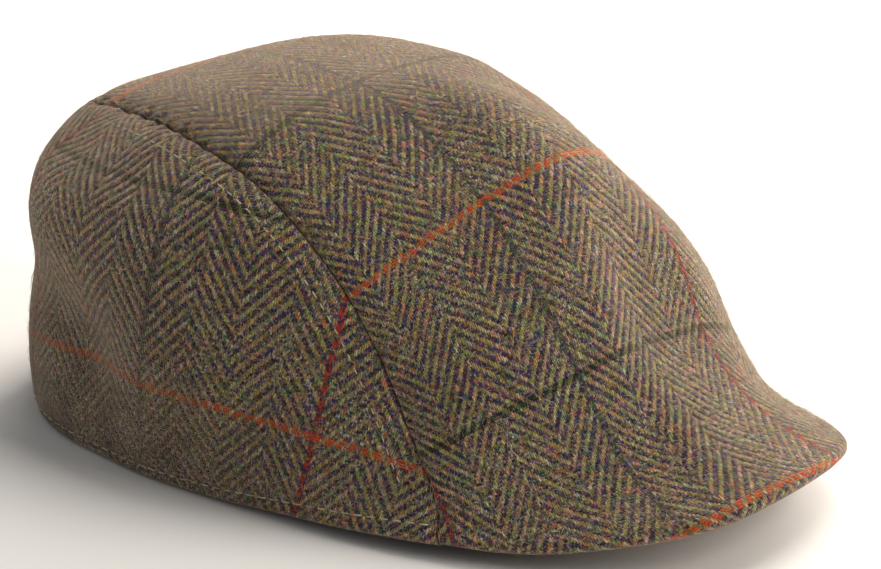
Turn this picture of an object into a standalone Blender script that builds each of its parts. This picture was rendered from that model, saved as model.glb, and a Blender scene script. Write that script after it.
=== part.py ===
"""A duckbill flat cap: one wide top panel, two side panels and a peak.

The cap stands on its rim. +Z is up, the peak points to -Y and the wearer's right is at -X.
The origin is on the floor under the middle of the cap. Lengths are in metres.

The crown is one smooth skin, drawn over a flat disk. The disk's centre is the top of the
crown and its edge is the rim, so each place on the skin is a place on the disk. The panels
are cut out of that skin along the seams, and each gets its thickness inwards.
"""

import math
from collections import namedtuple

import bpy
import numpy as np

# Driving dimensions
PEAK_REACH = 0.1396
REAR_REACH = 0.1226
HALF_WIDTH = 0.0795
CROWN_HEIGHT = 0.1118
CLOTH = 0.0022
SEAM_GAP = 0.0007
FOLD_RELIEF = 0.0048
PEAK_BOARD = 0.0024
PEAK_DEPTH = 0.048
PEAK_END_DEPTH = 0.008
PEAK_SETBACK = 0.0012
LAYER_GAP = 0.0006

# The top of the crown lies this share of PEAK_REACH ahead of the head's centre, and its
# tangent plane rises to the front by CROWN_TILT
CROWN_TOP_AHEAD = -0.014
CROWN_TILT = 0.05

# The peak's plate ends this far along SECTIONS, just ahead of the seam's foot. Its slope
# falls by a share from its edge to the brow, and the brow's arc is a power of a cosine
PEAK_END_SECTION = 3.4
PEAK_FLATTENING = 0.45
BROW_POWER = 0.8

# Sections from the rim to the top of the crown, at even angles from the peak's tip round
# the wearer's side to the centre back. Each one is a Bezier curve in a standing plane.
# across: the rim's share of HALF_WIDTH        along: its share of PEAK_REACH or REAR_REACH
# lift: the rim's share of CROWN_HEIGHT        rise: degrees that the skin rises at the rim
# wall: lower handle, share of CROWN_HEIGHT    dome: upper handle, share of HALF_WIDTH
Section = namedtuple("Section", "across along lift rise wall dome")
SECTIONS = (
    Section(0.00, 1.01, 0.223, 10, 0.75, 1.21),
    Section(0.41, 0.97, 0.177, 13, 0.59, 1.12),
    Section(0.66, 0.80, 0.110, 22, 0.34, 0.90),
    Section(0.87, 0.58, 0.064, 44, 0.22, 0.78),
    Section(0.96, 0.34, 0.038, 66, 0.19, 0.83),
    Section(1.00, 0.08, 0.017, 91, 0.25, 0.94),
    Section(1.02, -0.18, -0.004, 101, 0.44, 1.09),
    Section(1.00, -0.50, 0.000, 103, 0.60, 1.22),
    Section(0.84, -0.88, 0.000, 102, 0.83, 1.21),
    Section(0.00, -1.06, 0.000, 95, 0.93, 1.08),
)

# The seam between the top panel and a side panel, from its foot on the rim to the corner of
# the top panel's short back edge, which runs on from there to the centre back.
# section: place along SECTIONS, counted from 0    up: share of the way from the rim to the top
SeamPoint = namedtuple("SeamPoint", "section up")
SEAM = (
    SeamPoint(3.55, 0.00),
    SeamPoint(3.56, 0.12),
    SeamPoint(3.76, 0.24),
    SeamPoint(4.02, 0.36),
    SeamPoint(4.36, 0.46),
    SeamPoint(4.90, 0.565),
    SeamPoint(5.60, 0.65),
    SeamPoint(6.40, 0.69),
    SeamPoint(7.30, 0.68),
    SeamPoint(8.00, 0.61),
    SeamPoint(8.45, 0.47),
)
CENTRE_BACK = SeamPoint(9.00, 0.455)

# Soft folds and dents, each along a line on the skin.
# side: -1 wearer's right, 1 wearer's left    start and end: section and up, as in SEAM
# width: share of the disk's radius           depth: share of FOLD_RELIEF, out is positive
Fold = namedtuple("Fold", "side start end width depth")
FOLDS = (
    Fold(-1, (7.8, 0.36), (8.5, 0.44), 0.12, 0.95),
    Fold(1, (8.1, 0.40), (8.6, 0.43), 0.12, -0.40),
    Fold(-1, (8.3, 0.60), (8.9, 0.62), 0.12, -0.30),
    Fold(1, (8.5, 0.62), (8.9, 0.62), 0.12, -0.10),
    Fold(-1, (7.0, 0.20), (8.4, 0.23), 0.11, -1.20),
    Fold(1, (7.3, 0.24), (8.6, 0.22), 0.10, -0.45),
    Fold(-1, (7.0, 0.56), (7.9, 0.50), 0.05, -0.30),
    Fold(1, (6.6, 0.56), (7.7, 0.52), 0.06, -0.40),
    Fold(1, (5.4, 0.08), (6.6, 0.10), 0.07, -0.30),
    Fold(-1, (1.2, 0.16), (3.0, 0.06), 0.09, -0.50),
    Fold(1, (1.2, 0.16), (3.0, 0.06), 0.09, -0.50),
    Fold(-1, (1.2, 0.44), (3.2, 0.36), 0.13, 0.65),
    Fold(1, (1.2, 0.44), (3.2, 0.36), 0.13, 0.65),
    Fold(-1, (3.4, 0.74), (5.2, 0.72), 0.12, -0.30),
    Fold(1, (3.4, 0.74), (5.2, 0.72), 0.12, -0.30),
)

# How finely the panels are meshed. The row of faces beside a seam is a share of the others'
# width, so that the cloth's inner face turns with the seam
SEAM_STATIONS = 32
BACK_EDGE_STATIONS = 2
SIDE_PANEL_FRONT_STATIONS = 3
SIDE_PANEL_ROWS = 8
TOP_PANEL_COLUMNS = 20
SEAM_ROW_WIDTH = 0.5
PEAK_COLUMNS = 30
PEAK_ROWS = 5

TWEED_COLOUR = (0.130, 0.102, 0.066, 1.0)
UNDER_PEAK_COLOUR = (0.085, 0.066, 0.043, 1.0)
WOOL_ROUGHNESS = 0.95

# TINY keeps a place inside its table. SLOPE_STEP is the disk step that slopes are taken over
TINY = 1e-9
SLOPE_STEP = 1e-4


def mix(start, end, share):
    """The point that lies a share of the way from start to end."""
    return start + (end - start) * share


def column(name):
    """One column of SECTIONS as an array."""
    return np.array([getattr(section, name) for section in SECTIONS], dtype=float)


def along_sections(name, place, odd=False):
    """A column's value at any place along SECTIONS: a uniform cubic B-spline.

    The cap mirrors itself at both ends of the table, where an odd column changes its sign.
    """
    values = column(name)
    sign = -1.0 if odd else 1.0
    values = np.concatenate([[sign * values[1]], values, [sign * values[-2]]])
    place = np.clip(place, 0.0, len(SECTIONS) - 1 - TINY)
    knot = np.floor(place).astype(int)
    f = place - knot
    weights = (
        (1 - f) ** 3 / 6,
        (3 * f ** 3 - 6 * f ** 2 + 4) / 6,
        (-3 * f ** 3 + 3 * f ** 2 + 3 * f + 1) / 6,
        f ** 3 / 6,
    )
    return sum(weight * values[knot + i] for i, weight in enumerate(weights))


def disk_point(side, section, up):
    """Disk coordinates of a place given as section and up: x to the wearer's left, y ahead."""
    angle = math.pi * np.asarray(section, dtype=float) / (len(SECTIONS) - 1)
    radius = 1.0 - np.asarray(up, dtype=float)
    return np.stack([side * radius * np.sin(angle), radius * np.cos(angle)], axis=-1)


def bare_skin(disk):
    """Points of the unfolded skin for an array of disk coordinates."""
    radius = np.hypot(disk[..., 0], disk[..., 1])
    side = np.where(disk[..., 0] < 0, -1.0, 1.0)
    place = np.arctan2(np.abs(disk[..., 0]), disk[..., 1]) / math.pi * (len(SECTIONS) - 1)
    up = 1.0 - radius
    top_ahead = CROWN_TOP_AHEAD * PEAK_REACH
    across = along_sections("across", place, odd=True) * HALF_WIDTH
    along = along_sections("along", place)
    ahead = along * np.where(along > 0, PEAK_REACH, REAR_REACH) - top_ahead
    reach = np.hypot(across, ahead)
    lift = along_sections("lift", place) * CROWN_HEIGHT
    rise = np.radians(along_sections("rise", place))
    wall = along_sections("wall", place) * CROWN_HEIGHT
    dome = along_sections("dome", place) * HALF_WIDTH
    weights = ((1 - up) ** 3, 3 * (1 - up) ** 2 * up, 3 * (1 - up) * up ** 2, up ** 3)
    out = weights[0] * reach + weights[1] * (reach - wall * np.cos(rise)) + weights[2] * dome
    dome_height = CROWN_HEIGHT + CROWN_TILT * dome * ahead / reach
    height = (weights[0] * lift + weights[1] * (lift + wall * np.sin(rise))
              + weights[2] * dome_height + weights[3] * CROWN_HEIGHT)
    return np.stack([side * out * across / reach, -top_ahead - out * ahead / reach, height], axis=-1)


def outward(disk):
    """Unit normals of the unfolded skin, pointing out of the cap."""
    to_left = np.array([SLOPE_STEP, 0.0])
    to_front = np.array([0.0, SLOPE_STEP])
    leftwards = bare_skin(disk + to_left) - bare_skin(disk - to_left)
    forwards = bare_skin(disk + to_front) - bare_skin(disk - to_front)
    normal = np.cross(forwards, leftwards)
    return normal / np.linalg.norm(normal, axis=-1, keepdims=True)


def relief(disk):
    """How far the folds push the skin out, for an array of disk coordinates."""
    total = np.zeros(disk.shape[:-1])
    for fold in FOLDS:
        start = disk_point(fold.side, *fold.start)
        end = disk_point(fold.side, *fold.end)
        line = end - start
        share = np.clip((disk - start) @ line / (line @ line), 0.0, 1.0)
        nearest = start + share[..., None] * line
        distance = np.linalg.norm(disk - nearest, axis=-1) / fold.width
        total += fold.depth * FOLD_RELIEF * np.exp(-distance ** 2)
    return total


def skin(disk):
    """Points of the cap's outer skin for an array of disk coordinates."""
    return bare_skin(disk) + outward(disk) * relief(disk)[..., None]


def cut_disk(station, side):
    """Disk coordinates along the seam and on along the back edge, counted in stations."""
    points = np.array([disk_point(side, *point) for point in SEAM])
    points = np.concatenate([[2 * points[0] - points[1]], points, [2 * points[-1] - points[-2]]])
    place = np.asarray(station, dtype=float) / SEAM_STATIONS * (len(SEAM) - 1)
    place = np.clip(place, 0.0, len(SEAM) - 1 - TINY)
    knot = np.floor(place).astype(int)
    f = (place - knot)[..., None]
    p0, p1, p2, p3 = (points[knot + i] for i in range(4))
    seam = 0.5 * (2 * p1 + (p2 - p0) * f + (2 * p0 - 5 * p1 + 4 * p2 - p3) * f ** 2
                  + (3 * p1 - p0 - 3 * p2 + p3) * f ** 3)
    past_corner = np.clip((station - SEAM_STATIONS) / BACK_EDGE_STATIONS, 0.0, 1.0)
    return mix(seam, disk_point(side, *CENTRE_BACK), past_corner[..., None])


def cut_line(station, side):
    """Points along the facets of that cut, which both panels that meet there keep to."""
    corners = np.arange(SEAM_STATIONS + BACK_EDGE_STATIONS + 1)
    facets = skin(cut_disk(corners, side))
    return np.stack([np.interp(station, corners, facets[:, axis]) for axis in range(3)], axis=-1)


def stations(count, seam_at_start, seam_at_end):
    """Even shares from 0 to 1, with one more close to each end that is a seam."""
    shares = np.linspace(0.0, 1.0, count + 1)
    if seam_at_start:
        shares = np.insert(shares, 1, SEAM_ROW_WIDTH * shares[1])
    if seam_at_end:
        shares = np.insert(shares, -1, 1.0 - SEAM_ROW_WIDTH / count)
    return shares


def patch(near, far, left, right, u, v):
    """A grid filled in between four edges that meet at their ends (a Coons patch).

    near and far run from left to right at the shares u, and left and right run from near to
    far at the shares v.
    """
    u = u[None, :, None]
    v = v[:, None, None]
    across = mix(near[None], far[None], v)
    along = mix(left[:, None], right[:, None], u)
    corners = mix(mix(near[0], near[-1], u), mix(far[0], far[-1], u), v)
    return across + along - corners


def draw_back(grid, edges):
    """Take the named edges of a grid half a seam gap back from the line that they lie on."""
    moved = grid.copy()
    middle = grid[1:-1, 1:-1]
    middle = np.concatenate([middle[:1], middle, middle[-1:]])
    middle = np.concatenate([middle[:, :1], middle, middle[:, -1:]], axis=1)
    inner = {"near": middle[0], "far": middle[-1], "left": middle[:, 0], "right": middle[:, -1]}
    where = {"near": 0, "far": -1, "left": (slice(None), 0), "right": (slice(None), -1)}
    for edge in edges:
        line = grid[where[edge]]
        along = np.gradient(line, axis=0)
        along /= np.linalg.norm(along, axis=-1, keepdims=True)
        inwards = inner[edge] - line
        inwards -= along * np.sum(along * inwards, axis=-1, keepdims=True)
        length = np.linalg.norm(inwards, axis=-1, keepdims=True)
        moved[where[edge]] += inwards / length * SEAM_GAP / 2
    return moved


def side_panel_grid(side):
    """The side panel: columns of faces stand between the rim and the cut above it.

    The first column is the seam's lowest stretch, beside the seam's foot.
    """
    last = SEAM_STATIONS + BACK_EDGE_STATIONS
    u = stations(last - SIDE_PANEL_FRONT_STATIONS, True, True)
    v = stations(SIDE_PANEL_ROWS, False, True)
    upper = mix(SIDE_PANEL_FRONT_STATIONS, last, u)
    rim = disk_point(side, mix(SEAM[0].section, CENTRE_BACK.section, u), 0.0)
    grid = skin(mix(rim[None], cut_disk(upper, side)[None], v[:, None, None]))
    grid[-1] = cut_line(upper, side)
    grid[:, 0] = cut_line(SIDE_PANEL_FRONT_STATIONS * v, side)
    return draw_back(grid, ("far", "left", "right"))


def both_halves(curve, shares):
    """A curve from the wearer's right to the middle, and its mirror image on to the left."""
    return np.concatenate([curve(shares, -1), curve(shares, 1)[-2::-1]])


def peak_edge(share, side):
    """Disk coordinates along the peak's edge, from the seam's foot to the tip."""
    return disk_point(side, mix(SEAM[0].section, 0.0, share), 0.0)


def top_panel_grid():
    """The top panel: the peak's edge in front, a seam on each side and a short end behind."""
    half = stations(TOP_PANEL_COLUMNS // 2, True, False)
    u = np.concatenate([half, 2.0 - half[-2::-1]]) / 2
    v = stations(SEAM_STATIONS, True, False)
    to_middle = SEAM_STATIONS + BACK_EDGE_STATIONS * half
    down_seam = SEAM_STATIONS * (1.0 - v)
    back = both_halves(cut_disk, to_middle)
    front = both_halves(peak_edge, half)
    grid = skin(patch(back, front, cut_disk(down_seam, -1), cut_disk(down_seam, 1), u, v))
    grid[0] = both_halves(cut_line, to_middle)
    grid[:, 0] = cut_line(down_seam, -1)
    grid[:, -1] = cut_line(down_seam, 1)
    return draw_back(grid, ("near", "left", "right"))


def peak_grid():
    """The peak's upper face: it starts just under the top panel's edge and runs in to the brow."""
    section = np.linspace(-PEAK_END_SECTION, PEAK_END_SECTION, PEAK_COLUMNS + 1)
    share = np.linspace(0.0, 1.0, PEAK_ROWS + 1)[:, None]
    edge = disk_point(np.sign(section), np.abs(section), 0.0)
    start = skin(edge) - outward(edge) * (CLOTH + LAYER_GAP)
    top = np.array([0.0, -CROWN_TOP_AHEAD * PEAK_REACH])
    inwards = top - start[:, :2]
    inwards /= np.linalg.norm(inwards, axis=-1, keepdims=True)
    brow = np.cos(section / PEAK_END_SECTION * math.pi / 2) ** BROW_POWER
    depth = mix(PEAK_END_DEPTH, PEAK_DEPTH, brow)
    rise = np.tan(np.radians(along_sections("rise", np.abs(section))))
    distance = PEAK_SETBACK + depth * share
    flattening = 1.0 - PEAK_FLATTENING * share
    plan = start[:, :2] + inwards * distance[..., None]
    height = start[:, 2] + rise * distance * flattening
    return np.concatenate([plan, height[..., None]], axis=-1)


def wool_material(name, colour):
    """A plain wool colour for one piece."""
    material = bpy.data.materials.new(name)
    material.use_nodes = True
    shader = material.node_tree.nodes["Principled BSDF"]
    shader.inputs["Base Color"].default_value = colour
    shader.inputs["Roughness"].default_value = WOOL_ROUGHNESS
    shader.inputs["Metallic"].default_value = 0.0
    return material


def centre_on_floor(grids):
    """Move all grids together, so that the cap stands on the floor with its middle at 0, 0."""
    points = np.concatenate([grid.reshape(-1, 3) for grid in grids])
    low = points.min(axis=0)
    middle = (low + points.max(axis=0)) / 2
    return [grid - np.array([middle[0], middle[1], low[2]]) for grid in grids]


def cloth_piece(name, grid, facing, thickness, colour, collection):
    """One piece of the cap: an open grid of faces that Solidify thickens on its inner side.

    facing is a direction that the middle of its outer side looks towards.
    """
    rows, columns = grid.shape[:2]
    index = np.arange(rows * columns).reshape(rows, columns)
    faces = np.stack([index[:-1, :-1], index[:-1, 1:], index[1:, 1:], index[1:, :-1]], axis=-1)
    mesh = bpy.data.meshes.new(name)
    mesh.from_pydata(grid.reshape(-1, 3).tolist(), [], faces.reshape(-1, 4).tolist())
    middle = grid[rows // 2, columns // 2]
    across = grid[rows // 2, columns // 2 + 1] - middle
    along = grid[rows // 2 + 1, columns // 2] - middle
    if np.cross(across, along) @ np.array(facing) < 0:
        mesh.flip_normals()
    mesh.shade_smooth()
    mesh.materials.append(wool_material(name, colour))
    piece = bpy.data.objects.new(name, mesh)
    collection.objects.link(piece)
    shell = piece.modifiers.new("thickness", "SOLIDIFY")
    shell.thickness = thickness
    shell.offset = -1.0
    shell.use_rim = True
    return piece


def build():
    """Clear the scene and build the cap."""
    for old in list(bpy.data.objects):
        bpy.data.objects.remove(old, do_unlink=True)
    cap = bpy.data.collections.new("flat_cap")
    bpy.context.scene.collection.children.link(cap)
    grids = centre_on_floor([top_panel_grid(), side_panel_grid(-1), side_panel_grid(1), peak_grid()])
    top, right, left, peak = grids
    up = (0.0, 0.0, 1.0)
    cloth_piece("top_panel", top, up, CLOTH, TWEED_COLOUR, cap)
    cloth_piece("side_panel_right", right, (-1.0, 0.0, 0.0), CLOTH, TWEED_COLOUR, cap)
    cloth_piece("side_panel_left", left, (1.0, 0.0, 0.0), CLOTH, TWEED_COLOUR, cap)
    cloth_piece("peak", peak, up, PEAK_BOARD, UNDER_PEAK_COLOUR, cap)


build()
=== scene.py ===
import math
from collections import namedtuple
from functools import partial

import bpy
import numpy as np
from bpy.props import FloatProperty, FloatVectorProperty, IntProperty, PointerProperty
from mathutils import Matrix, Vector


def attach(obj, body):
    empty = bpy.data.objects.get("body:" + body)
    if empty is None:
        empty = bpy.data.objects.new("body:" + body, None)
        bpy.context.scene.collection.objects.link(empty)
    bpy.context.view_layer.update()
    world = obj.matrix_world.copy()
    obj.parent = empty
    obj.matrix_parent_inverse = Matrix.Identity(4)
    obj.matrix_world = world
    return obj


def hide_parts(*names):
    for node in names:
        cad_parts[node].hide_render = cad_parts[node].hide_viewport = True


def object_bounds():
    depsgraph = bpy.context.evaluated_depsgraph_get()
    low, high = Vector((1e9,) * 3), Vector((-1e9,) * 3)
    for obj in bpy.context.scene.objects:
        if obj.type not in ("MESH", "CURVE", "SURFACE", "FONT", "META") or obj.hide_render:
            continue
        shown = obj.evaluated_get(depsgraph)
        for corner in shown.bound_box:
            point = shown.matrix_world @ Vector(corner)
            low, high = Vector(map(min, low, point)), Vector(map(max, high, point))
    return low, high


bl_info = {
    "name": "Duckbill Flat Cap",
    "version": (1, 0, 0),
    "blender": (4, 5, 0),
    "location": "View3D > Sidebar > Flat Cap",
    "description": "A flat cap of herringbone tweed: top panel, side panels, peak, stitches and stage",
    "category": "Add Mesh",
}

# The cap stands on its rim. The peak points to -Y and the wearer's right is at -X. The crown
# is one smooth skin drawn over a flat disk: the disk's centre is the top of the crown and its
# edge is the rim. The panels are cut out of that skin along the seams.
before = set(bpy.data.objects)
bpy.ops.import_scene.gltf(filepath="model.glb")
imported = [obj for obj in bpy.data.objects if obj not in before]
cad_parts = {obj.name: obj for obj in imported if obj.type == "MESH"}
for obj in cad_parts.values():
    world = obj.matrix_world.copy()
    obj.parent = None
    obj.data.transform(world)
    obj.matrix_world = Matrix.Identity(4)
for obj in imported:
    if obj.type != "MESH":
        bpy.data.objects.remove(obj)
cad_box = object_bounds()

# Sections from the rim to the top of the crown, at even angles from the peak's tip round
# the wearer's side to the centre back. Each one is a Bezier curve in a standing plane.
# across: the rim's share of the half width     along: its share of the peak's or rear's reach
# lift: the rim's share of the crown's height   rise: degrees that the skin rises at the rim
# wall: lower handle, share of the height       dome: upper handle, share of the half width
Section = namedtuple("Section", "across along lift rise wall dome")
SECTIONS = (
    Section(0.00, 1.01, 0.223, 10, 0.75, 1.21),
    Section(0.41, 0.97, 0.177, 13, 0.59, 1.12),
    Section(0.66, 0.80, 0.110, 22, 0.34, 0.90),
    Section(0.87, 0.58, 0.064, 44, 0.22, 0.78),
    Section(0.96, 0.34, 0.038, 66, 0.19, 0.83),
    Section(1.00, 0.08, 0.017, 91, 0.25, 0.94),
    Section(1.02, -0.18, -0.004, 101, 0.44, 1.09),
    Section(1.00, -0.50, 0.000, 103, 0.60, 1.22),
    Section(0.84, -0.88, 0.000, 102, 0.83, 1.21),
    Section(0.00, -1.06, 0.000, 95, 0.93, 1.08),
)

# The seam between the top panel and a side panel, from its foot on the rim to the corner of
# the top panel's short back edge, which runs on from there to the centre back.
# section: place along SECTIONS, counted from 0    up: share of the way from the rim to the top
SeamPoint = namedtuple("SeamPoint", "section up")
SEAM = (
    SeamPoint(3.55, 0.00),
    SeamPoint(3.56, 0.12),
    SeamPoint(3.76, 0.24),
    SeamPoint(4.02, 0.36),
    SeamPoint(4.36, 0.46),
    SeamPoint(4.90, 0.565),
    SeamPoint(5.60, 0.65),
    SeamPoint(6.40, 0.69),
    SeamPoint(7.30, 0.68),
    SeamPoint(8.00, 0.61),
    SeamPoint(8.45, 0.47),
)
CENTRE_BACK = SeamPoint(9.00, 0.455)
SEAM_END = len(SEAM) - 1

# Places along SEAM: the centre back, counted on over the back edge, and the top of the side
# panel's front edge
BACK_END = SEAM_END + 0.6
FRONT_COLUMN_END = 0.94

# Soft folds and dents, each along a line on the skin.
# side: -1 wearer's right, 1 wearer's left    start and end: section and up, as in SEAM
# width: share of the disk's radius           depth: share of the fold relief, out is positive
Fold = namedtuple("Fold", "side start end width depth")
FOLDS = (
    Fold(-1, (7.8, 0.36), (8.5, 0.44), 0.12, 0.95),
    Fold(1, (8.1, 0.40), (8.6, 0.43), 0.12, -0.40),
    Fold(-1, (8.3, 0.60), (8.9, 0.62), 0.12, -0.30),
    Fold(1, (8.5, 0.62), (8.9, 0.62), 0.12, -0.10),
    Fold(-1, (7.0, 0.20), (8.4, 0.23), 0.11, -1.20),
    Fold(1, (7.3, 0.24), (8.6, 0.22), 0.10, -0.45),
    Fold(-1, (7.0, 0.56), (7.9, 0.50), 0.05, -0.30),
    Fold(1, (6.6, 0.56), (7.7, 0.52), 0.06, -0.40),
    Fold(1, (5.4, 0.08), (6.6, 0.10), 0.07, -0.30),
    Fold(-1, (1.2, 0.16), (3.0, 0.06), 0.09, -0.50),
    Fold(1, (1.2, 0.16), (3.0, 0.06), 0.09, -0.50),
    Fold(-1, (1.2, 0.44), (3.2, 0.36), 0.13, 0.65),
    Fold(1, (1.2, 0.44), (3.2, 0.36), 0.13, 0.65),
    Fold(-1, (3.4, 0.74), (5.2, 0.72), 0.12, -0.30),
    Fold(1, (3.4, 0.74), (5.2, 0.72), 0.12, -0.30),
)

# The peak's plate ends this far along SECTIONS, just ahead of the seam's foot. Its slope
# falls by a share from its edge to the brow, and the brow's arc is a power of a cosine
PEAK_END_SECTION = 3.4
PEAK_FLATTENING = 0.45
BROW_POWER = 0.8

# The top of the crown lies this share of the peak's reach ahead of the head's centre, and its
# tangent plane rises to the front by the tilt
CROWN_TOP_AHEAD = -0.014
CROWN_TILT = 0.05

# How the cloth lies on a panel. A place in the weave is the panel laid flat, turned and drawn
# a little as the cap was cut and steamed: a sum of these terms, in metres on the flat panel.
# start: where the panel's origin is in the overcheck    across, along: share of each direction
# bow, wave: bend that grows with the square and the cube of along
Lay = namedtuple("Lay", "start across along bow wave")
TOP_ACROSS = Lay(0.0323, 1.14, 0.25, -1.03, -1.0)
TOP_ALONG = Lay(-0.0127, -0.14, 1.036, 0.78, -3.8)
SIDE_ACROSS = Lay(0.0033, 1.02, 0.12, -1.4, 0.0)
SIDE_ALONG = Lay(-0.033, 0.075, 1.02, 0.0, 0.0)

# Rows of faces stand closer beside an edge, at these distances from it. Elsewhere they are one
# cell apart over these rough lengths of the panels, and the flat panels are laid in larger cells
EDGE_ROWS = (0.0, 0.00012, 0.0003, 0.0006, 0.0010, 0.0015, 0.0021, 0.0029, 0.0039)
SIDE_LENGTH = 0.27
SIDE_HEIGHT = 0.07
TOP_LENGTH = 0.28
TOP_HALF_WIDTH = 0.10
FLAT_CELL = 0.004

# Columns of the peak's grid, and places tried to find where the top cloth starts up the seam
PEAK_COLUMNS = 201
FOOT_POINTS = 200

# Length and seed of the cloth's gentle unevenness, which is a sum of waves whose lengths are
# spread by these factors. The puckers beside a seam are made in the same way
SLACK_WAVES = (0.035, 11)
WAVE_COUNT = 9
WAVE_SPREAD = (0.7, 1.5)
PUCKER_SEED = 3
PUCKER_SHARE = 0.6

# The rim's free front edge ends at this section, and is measured with so many points
FRONT_RIM_END = 3.6
FRONT_RIM_POINTS = 40

# Places that a panel's flat cloth is laid from: a share of its rows or its columns. The warp
# runs along from there over so many rows
CROWN_ROW = 0.45
SIDE_COLUMN = 0.55
WARP_ROWS = 20
PEAK_WARP_ROWS = 5

# Degrees of turn at which the top cloth has a row round the peak's edge
TURN_STEP = 12.0
TURN_END = 169.0

# A point inside the cap, as a share of the crown's height, tells which way is out
INSIDE_HEIGHT = 0.3

# Rows of stitches: where they start and end (a section on the rim, a place along SEAM), how
# wide they dent the cloth and how far those beside a seam are drawn down into the nap. The ends
# of a stitch dip into the cloth by a share of the thread's radius
HEM_ROW = (SEAM[0].section + 0.1, CENTRE_BACK.section)
SEAM_ROW = (1.6, SEAM_END - 0.4)
ROW_POINTS = 400
STITCH_DENT_WIDTH = 0.0009
SUNK_STITCH = 0.00016
STITCH_DIP = 1.2
STITCH_RINGS = 6
THREAD_SIDES = 6

# Stray fibres: the share of the disk's area that they grow on, the shortest and the lowest as
# shares of the longest and the highest, how they curl, and the arch that they make over the
# cloth, as a share of a half wave that starts this far down in the nap
FIBRE_SEED = 7
FIBRE_AREA = 0.95
SHORTEST_FIBRE = 0.3
LOWEST_FIBRE = 0.1
FIBRE_CURL = 0.35
FIBRE_ARCH = 0.75
FIBRE_ROOT = 0.15
FIBRE_RINGS = 5
FIBRE_SIDES = 3

# Each light is square and stands off the cap's middle: metres to the camera's right, above and
# toward the camera. power: watts
Light = namedtuple("Light", "name right above toward power colour")
LIGHTS = (
    Light("top", 0.35, 1.15, 0.1, 10.0, "FFF8F0"),
    Light("rim", 0.8, 0.8, -0.9, 33.0, "FFF4E8"),
    Light("front", 1.0, 0.4, 0.6, 8.5, "FFF8F0"),
    Light("back", -1.2, 0.3, -0.4, 3.0, "FFFFFF"),
)
LIGHT_SIZE = 0.8
FLOOR_SIZE = 6.0

# The photograph's size in pixels, and the pixel at which it shows this place in the cap
PHOTO_PIXELS = (881, 569)
SEEN_PIXEL = (424, 249)
SEEN_PLACE = (0.0, 0.006, 0.0573)
SENSOR = 36.0
MILLIMETRE = 0.001

# How far a place is kept short of a table's end, and the step on the disk for slopes
TINY = 1e-9
SLOPE_STEP = 1e-4


def linear(colour):
    """An sRGB hex colour as linear red, green, blue and alpha."""
    parts = [int(colour[i:i + 2], 16) / 255 for i in (0, 2, 4)]
    return tuple(c / 12.92 if c <= 0.04045 else ((c + 0.055) / 1.055) ** 2.4 for c in parts) + (1.0,)


def metres(name, description, default):
    """A size that a user can change, in metres."""
    return FloatProperty(name=name, description=description, default=default, unit="LENGTH")


class CapShape(bpy.types.PropertyGroup):
    """Sizes of the cap."""

    peak_reach: metres("Peak reach", "From the head's centre to the peak's tip", 0.1396)
    rear_reach: metres("Rear reach", "From the head's centre to the back of the rim", 0.1226)
    half_width: metres("Half width", "Half the rim's width", 0.0795)
    crown_height: metres("Crown height", "Height of the top of the crown", 0.1118)
    cloth: metres("Cloth", "Thickness of the cloth with its turnings", 0.0022)
    fold_relief: metres("Fold relief", "Depth of a soft fold whose share is 1", 0.0048)
    seam_gap: metres("Seam gap", "Gap between the two cloths of a seam at its face", 0.00025)
    seam_roll: metres("Seam roll", "Radius of the cloth where it turns into a seam", 0.0013)
    seam_pull: metres("Seam pull", "How far the thread pulls the cloth in beside a seam", 0.0010)
    seam_pull_width: metres("Seam pull width", "How wide the pulled strip beside a seam is", 0.0035)
    pucker_length: metres("Pucker length", "Spacing of the small puckers along a seam", 0.0065)
    slack: metres("Slack", "Height of the cloth's gentle unevenness", 0.00028)
    peak_board: metres("Peak board", "Thickness of the peak's board and under cloth", 0.0024)
    layer_gap: metres("Layer gap", "Gap between the peak's board and the top cloth", 0.0006)
    peak_depth: metres("Peak depth", "How far the peak runs in under the crown at its middle", 0.048)
    peak_end_depth: metres("Peak end depth", "How far the peak runs in at its ends", 0.008)
    peak_setback: metres("Peak setback", "How far the board's edge lies inside the cloth's", 0.0012)
    hem_roll: metres("Hem roll", "Radius of the hem's fold at the rim", 0.002)
    hem_stitch: metres("Hem stitch", "Height of the stitches of the hem above the rim", 0.0044)
    seam_stitch: metres("Seam stitch", "From the seam to the stitches beside it", 0.0075)
    stitch_pitch: metres("Stitch pitch", "From one stitch to the next", 0.0041)
    stitch_length: metres("Stitch length", "Length of a stitch", 0.0026)
    stitch_dent: metres("Stitch dent", "How deep a row of stitches pulls the cloth in", 0.0003)
    thread: metres("Thread", "Radius of the thread", 0.0002)
    fibres: IntProperty(
        name="Fibres", description="Stray fibres that stand off the cloth", default=7000)
    fibre: metres("Fibre", "Radius of a stray fibre", 0.000035)
    fibre_length: metres("Fibre length", "Longest stray fibre", 0.0055)
    fibre_rise: metres("Fibre rise", "How far a stray fibre stands off", 0.0008)
    cell: metres("Cell", "Size of the panels' faces", 0.0013)


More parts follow.
